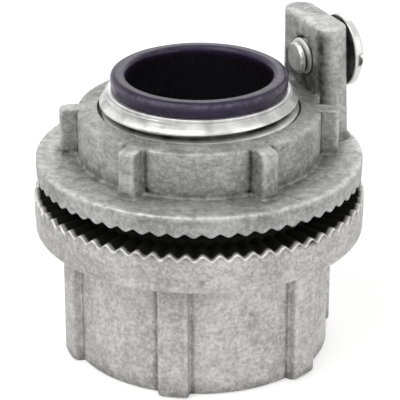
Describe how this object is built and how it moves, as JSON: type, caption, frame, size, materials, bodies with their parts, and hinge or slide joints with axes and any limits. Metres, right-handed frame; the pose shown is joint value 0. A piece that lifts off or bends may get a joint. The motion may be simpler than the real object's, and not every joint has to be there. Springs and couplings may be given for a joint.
{
  "type": "watertight conduit hub",
  "caption": "Watertight conduit hub with ribbed threaded socket, toothed flange, rubber seal, insulated throat and a grounding locknut with a lug and clamp screw.",
  "frame": {"origin": "on the axis of the hub, in the plane of the open lower end of its conduit socket", "axes": "+Z along the axis of the hub, from the conduit socket towards the insulated throat; -Y is the side the picture looks at from the front, and the ground lug stands 25 degrees from +X towards +Y"},
  "size_m": [0.0554, 0.0554, 0.0543],
  "materials": {
    "hub_zinc": "as-cast zinc alloy, tumbled, satin grey with small scuffs",
    "throat_plastic": "dark violet moulded plastic, glossy",
    "seal_rubber": "black moulded rubber",
    "locknut_zinc": "as-cast zinc alloy, satin, a little darker than the hub",
    "screw_plating": "bright plated steel"
  },
  "bodies": {
    "hub": {"hub_body": "hub_zinc", "insulated_throat": "throat_plastic"},
    "seal": {"sealing_ring": "seal_rubber"},
    "locknut": {"grounding_locknut": "locknut_zinc"},
    "ground_screw": {"ground_screw": "screw_plating"}
  },
  "joints": [
    {"name": "locknut_turn", "type": "hinge", "parent": "hub", "child": "seal", "pos_m": [0, 0, 0.0345], "axis": [0, 0, 1], "range_deg": [-349.2, 2070]},
    {"name": "locknut_travel", "type": "slide", "parent": "seal", "child": "locknut", "axis": [0, 0, 1], "range_m": [-0.00215, 0.0127]},
    {"name": "ground_screw_travel", "type": "slide", "parent": "locknut", "child": "ground_screw", "axis": [0.9063, 0.4226, 0], "range_m": [-0.001, 0.006]}
  ],
  "couplings": [
    {"joint": "locknut_travel", "follows": "locknut_turn", "m_per_rad": 0.00035152}
  ]
}
